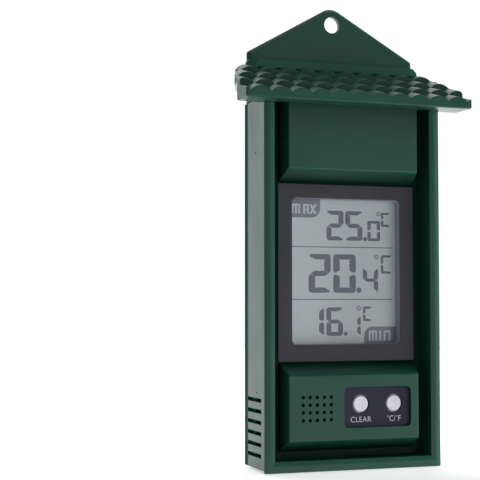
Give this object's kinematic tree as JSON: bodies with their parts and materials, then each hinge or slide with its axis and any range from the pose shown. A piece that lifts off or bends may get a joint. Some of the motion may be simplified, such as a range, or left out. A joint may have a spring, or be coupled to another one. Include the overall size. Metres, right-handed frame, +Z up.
{
  "type": "maximum minimum thermometer",
  "caption": "Digital maximum minimum thermometer in a green wall case with a tiled roof, a gable to hang it by, a three-line display and two push buttons.",
  "frame": {"origin": "centre of the bounding box's bottom face, so the flat back is the plane y = +21.65 mm", "axes": "+Z up towards the gable and its hanging hole, +Y into the wall, +X to the right of a person who faces the display"},
  "size_m": [0.1278, 0.0432, 0.2479],
  "materials": {
    "green_plastic": "satin dark green moulding",
    "bezel_plastic": "dark grey, satin",
    "lens_plastic": "clear acrylic window",
    "lcd_glass": "grey reflective liquid crystal panel",
    "holder_plastic": "white moulding",
    "connector_rubber": "layered silicone strip",
    "board_laminate": "green solder mask",
    "component_black": "black moulding or epoxy",
    "component_metal": "plated steel",
    "label_film": "printed dark film",
    "button_plastic": "white moulding, satin",
    "cell_sleeve": "printed sleeve, plain",
    "contact_metal": "nickel-plated spring steel",
    "positive_insulation": "red wire insulation",
    "negative_insulation": "black wire insulation",
    "screw_steel": "zinc-plated"
  },
  "bodies": {
    "case": {"front_case": "green_plastic", "rear_cover": "green_plastic", "roof": "green_plastic", "display_bezel": "bezel_plastic", "display_lens": "lens_plastic", "lcd_panel": "lcd_glass", "lcd_holder": "holder_plastic", "connector_strip_lower": "connector_rubber", "connector_strip_upper": "connector_rubber", "circuit_board": "board_laminate", "controller_chip": "component_black", "temperature_sensor": "component_black", "timing_crystal": "component_metal", "clear_switch": "component_metal", "unit_switch": "component_metal", "button_label": "label_film", "aaa_cell": "cell_sleeve", "spring_contact": "contact_metal", "plate_contact": "contact_metal", "positive_lead": "positive_insulation", "negative_lead": "negative_insulation", "case_screw_1": "screw_steel", "case_screw_2": "screw_steel", "case_screw_3": "screw_steel", "case_screw_4": "screw_steel", "roof_screw_1": "screw_steel", "roof_screw_2": "screw_steel", "board_screw_1": "screw_steel", "board_screw_2": "screw_steel", "board_screw_3": "screw_steel", "board_screw_4": "screw_steel"},
    "clear_button": {"clear_button": "button_plastic", "clear_switch_plunger": "component_black"},
    "unit_button": {"unit_button": "button_plastic", "unit_switch_plunger": "component_black"},
    "battery_door": {"battery_door": "green_plastic"}
  },
  "joints": [
    {"name": "clear_button_press", "type": "slide", "parent": "case", "child": "clear_button", "axis": [0, 1, 0], "range_m": [0, 0.0008], "stiffness_N_per_m": 1200},
    {"name": "unit_button_press", "type": "slide", "parent": "case", "child": "unit_button", "axis": [0, 1, 0], "range_m": [0, 0.0008], "stiffness_N_per_m": 1200},
    {"name": "battery_door_lift_off", "type": "slide", "parent": "case", "child": "battery_door", "axis": [0, 1, 0], "range_m": [0, 0.03]}
  ]
}
